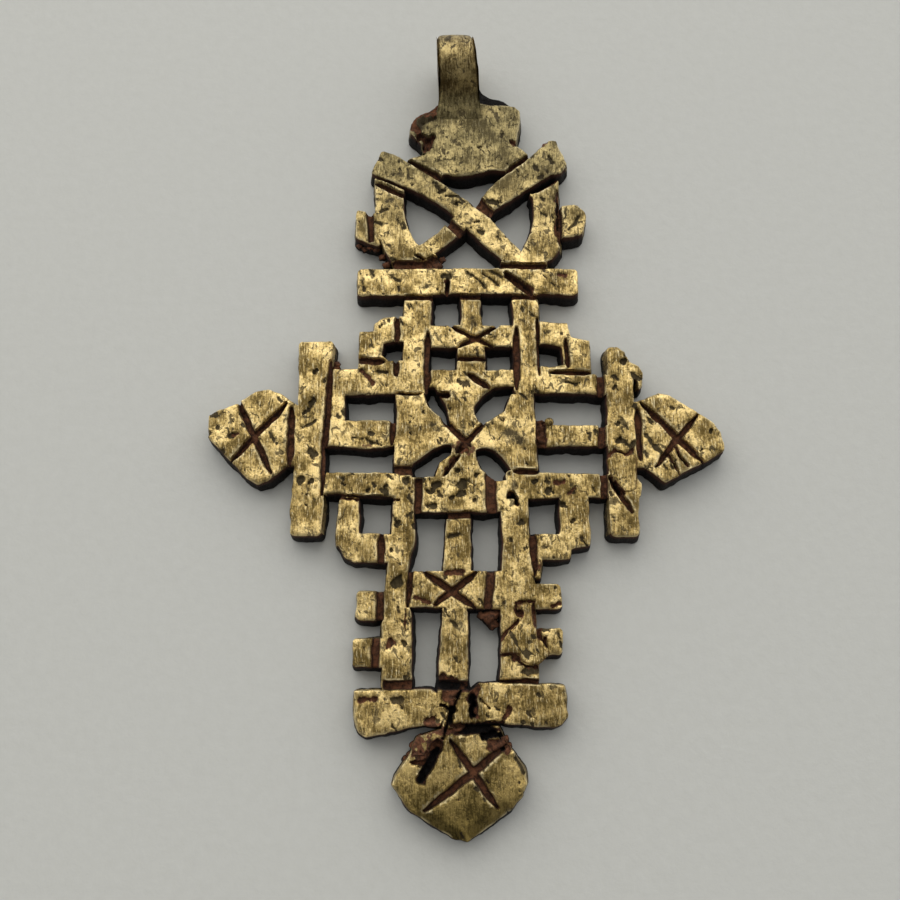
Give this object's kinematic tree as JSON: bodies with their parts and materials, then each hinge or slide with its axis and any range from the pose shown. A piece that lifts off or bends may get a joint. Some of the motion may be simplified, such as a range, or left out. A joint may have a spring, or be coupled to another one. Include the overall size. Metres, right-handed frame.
{
  "type": "neck cross",
  "caption": "Hand-cast brass neck cross of interlaced strips with filed grooves, pointed ends and a solid suspension loop for a cord.",
  "frame": {"origin": "under the middle of the bounding box, on the surface the cross lies on", "axes": "+X across the arms, +Y up the shaft to the suspension loop, +Z out of the front face; the flat back is at z = 0"},
  "size_m": [0.0516, 0.0836, 0.0068],
  "materials": {
    "cast_brass": "filed, scratched, dark patina in the grooves",
    "flowed_brass": "flowed, pitted",
    "burnt_residue": "rough, matt"
  },
  "bodies": {
    "root": {"centre_bottom_wing": "cast_brass", "centre_left_wing": "cast_brass", "centre_right_wing": "cast_brass", "centre_top_wing": "cast_brass", "foot_bar_left": "cast_brass", "foot_bar_right": "cast_brass", "foot_break_fill": "burnt_residue", "foot_terminal": "cast_brass", "head_strap_over": "cast_brass", "head_strap_under_left": "cast_brass", "head_strap_under_right": "cast_brass", "left_arm_link": "cast_brass", "left_end_bar": "cast_brass", "left_head_nub": "cast_brass", "left_hoop": "cast_brass", "left_lower_arm": "cast_brass", "left_middle_arm": "cast_brass", "left_nub_lower": "cast_brass", "left_nub_upper": "cast_brass", "left_terminal": "cast_brass", "left_upper_arm": "cast_brass", "left_upper_ear": "cast_brass", "lower_left_ear": "cast_brass", "lower_left_rail": "cast_brass", "lower_post_foot": "cast_brass", "lower_post_top": "cast_brass", "lower_right_ear": "cast_brass", "lower_right_rail": "cast_brass", "lower_saltire_plate": "cast_brass", "neck_gusset": "cast_brass", "neck_plate": "cast_brass", "right_bar_lug": "cast_brass", "right_bar_patch": "flowed_brass", "right_end_bar": "cast_brass", "right_head_nub": "cast_brass", "right_hoop": "cast_brass", "right_lower_arm": "cast_brass", "right_middle_arm": "cast_brass", "right_nub_lower": "cast_brass", "right_nub_upper": "cast_brass", "right_rail_patch": "flowed_brass", "right_terminal": "cast_brass", "right_upper_arm": "cast_brass", "right_upper_ear": "cast_brass", "suspension_loop": "cast_brass", "top_crossbar": "cast_brass", "upper_left_rail": "cast_brass", "upper_post_low": "cast_brass", "upper_post_top": "cast_brass", "upper_right_rail": "cast_brass", "upper_saltire_plate": "cast_brass"}
  },
  "joints": []
}
